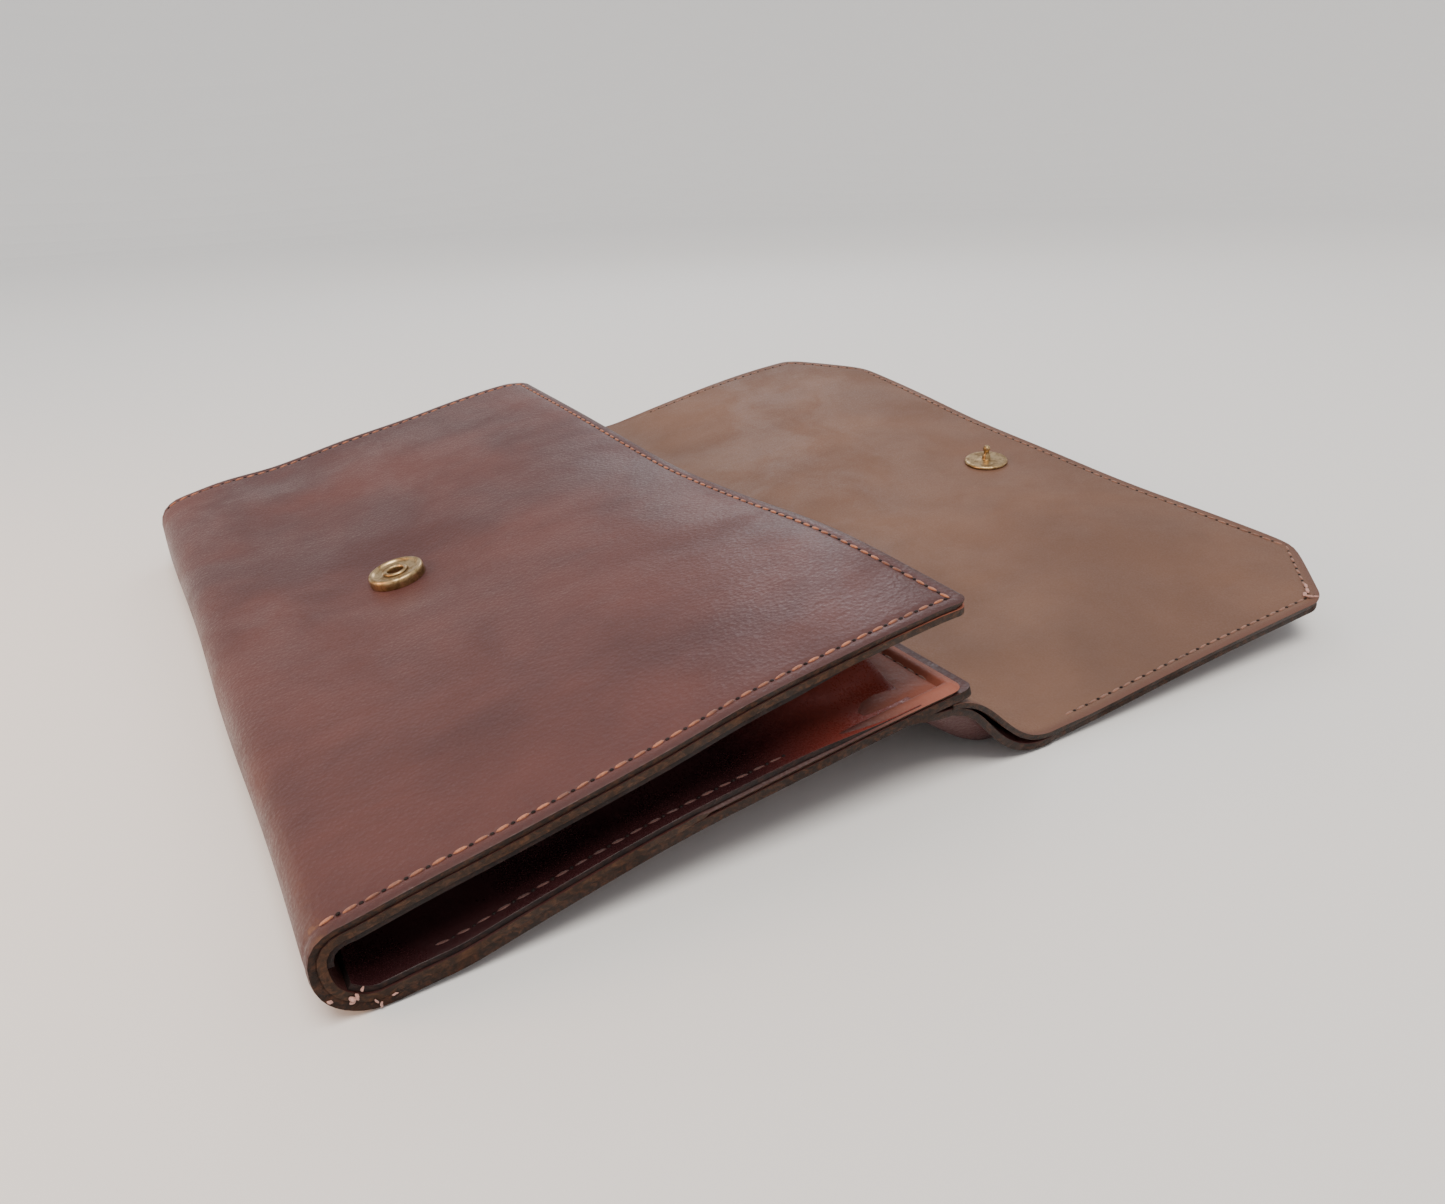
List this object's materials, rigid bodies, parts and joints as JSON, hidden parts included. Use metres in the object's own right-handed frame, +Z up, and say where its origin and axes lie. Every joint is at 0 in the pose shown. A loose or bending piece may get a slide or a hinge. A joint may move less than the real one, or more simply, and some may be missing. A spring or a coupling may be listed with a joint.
{
  "type": "soft pouch glasses case",
  "caption": "Soft leather pouch for glasses, shown open, with a wide flap that folds over the mouth and closes with a magnetic snap.",
  "frame": {"origin": "middle of the open case's length and width, on the surface that it lies on", "axes": "+X along the mouth, +Y from the bottom fold towards the flap's free edge, +Z up"},
  "size_m": [0.2, 0.222, 0.0341],
  "materials": {
    "outer_leather": "glossy pull-up leather, dark reddish brown",
    "pouch_lining": "smooth reddish brown leather",
    "flap_lining_leather": "smooth olive brown leather",
    "gusset_leather": "dark glossy leather",
    "thread": "waxed tan thread",
    "brass": "antique brass",
    "magnet": "plated magnet",
    "washer_steel": "pressed steel"
  },
  "bodies": {
    "pouch": {"back_panel": "outer_leather", "back_lining": "pouch_lining", "right_gusset": "gusset_leather", "left_gusset": "gusset_leather", "back_seam_threads": "thread", "back_mouth_thread": "thread", "seam_knots": "thread"},
    "front": {"front_panel": "outer_leather", "front_lining": "pouch_lining", "front_seam_thread": "thread", "socket_cap": "brass", "socket_eyelet": "brass", "socket_magnet": "magnet", "socket_plate": "brass", "socket_washer": "washer_steel"},
    "hinge_strip": {"hinge_panel": "outer_leather", "hinge_lining": "flap_lining_leather"},
    "flap": {"flap_panel": "outer_leather", "flap_lining": "flap_lining_leather", "flap_seam_thread_inside": "thread", "flap_seam_thread_outside": "thread", "thread_tails": "thread", "stud_plate": "brass", "stud_post": "brass", "stud_washer": "washer_steel"}
  },
  "joints": [
    {"name": "mouth_squeeze", "type": "hinge", "parent": "pouch", "child": "front", "pos_m": [0, -0.10452, 0.01268], "axis": [1, 0, 0], "range_deg": [-5, 0], "stiffness_Nm_per_rad": 0.2, "springref_deg": 10, "deforming": ["right_gusset", "left_gusset"]},
    {"name": "hinge_fold", "type": "hinge", "parent": "pouch", "child": "hinge_strip", "pos_m": [0, -0.00245, 0.01711], "axis": [1, 0, 0], "range_deg": [0, 105], "deforming": ["hinge_panel", "hinge_lining"]},
    {"name": "flap_fold", "type": "hinge", "parent": "hinge_strip", "child": "flap", "pos_m": [0, 0.01957, 0.0103], "axis": [0.9969, -0.0545, -0.0567], "range_deg": [0, 81.1], "deforming": ["hinge_panel", "hinge_lining"]}
  ],
  "couplings": [
    {"joint": "flap_fold", "follows": "hinge_fold", "ratio": 0.772}
  ]
}
